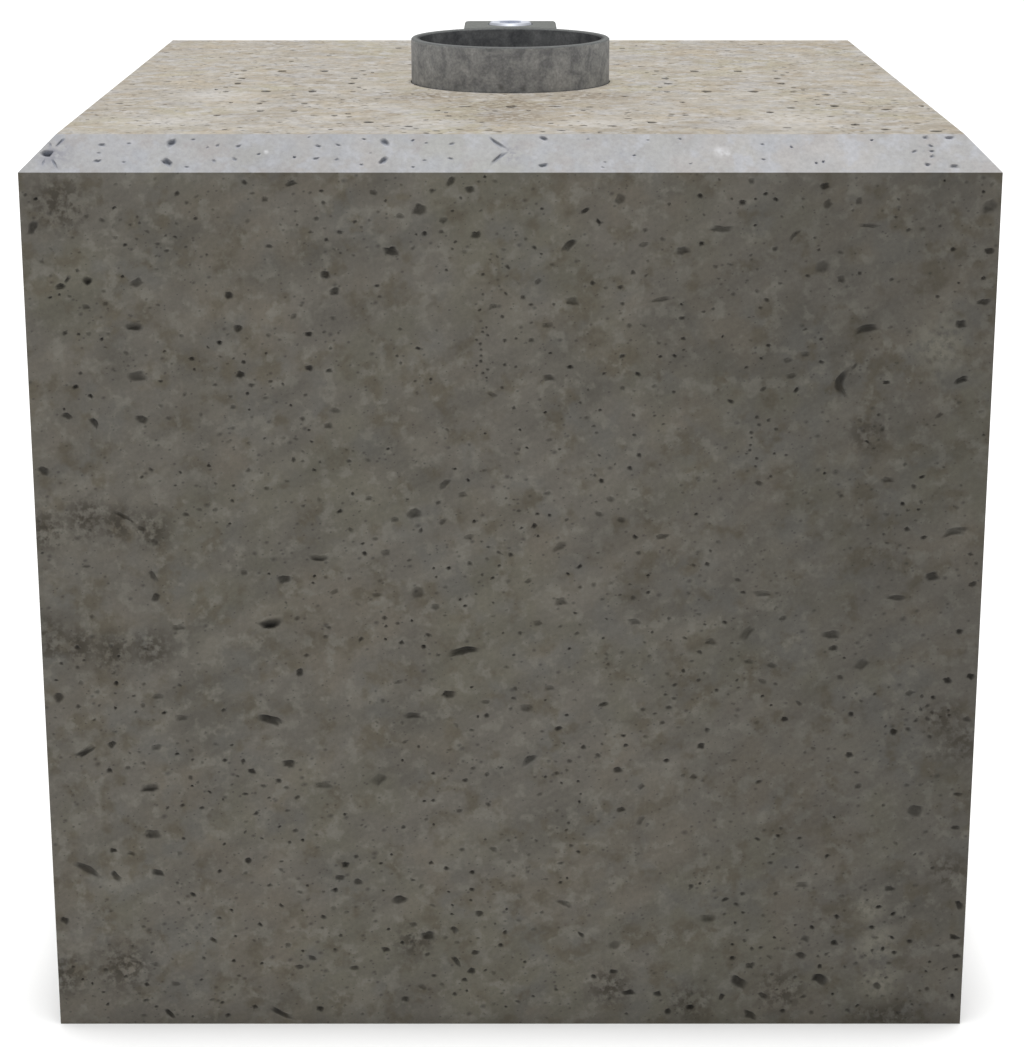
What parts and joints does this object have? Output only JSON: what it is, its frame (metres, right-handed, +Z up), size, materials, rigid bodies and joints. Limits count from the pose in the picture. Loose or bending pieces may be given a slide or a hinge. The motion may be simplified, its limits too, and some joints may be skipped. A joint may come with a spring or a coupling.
{
  "type": "sign post foundation block",
  "caption": "Cast concrete block with a chamfered top and an upright steel sleeve that takes a round sign post, clamped by a recessed socket head screw.",
  "frame": {"origin": "centre of the block's flat underside, on the ground", "axes": "+Z up along the post, -Y to the front, where the sleeve's plain side faces; the screw is behind the sleeve, at +Y"},
  "size_m": [0.3, 0.3, 0.3124],
  "materials": {
    "concrete": "cast, with small air holes",
    "galvanised_tube": "weathered hot-dip galvanised, dull and mottled",
    "galvanised_lug": "weathered hot-dip galvanised, dull",
    "zinc_plated_screw": "bright zinc plating"
  },
  "bodies": {
    "root": {"concrete_block": "concrete", "post_sleeve": "galvanised_tube", "clamp_lug": "galvanised_lug", "clamp_screw": "zinc_plated_screw"}
  },
  "joints": []
}
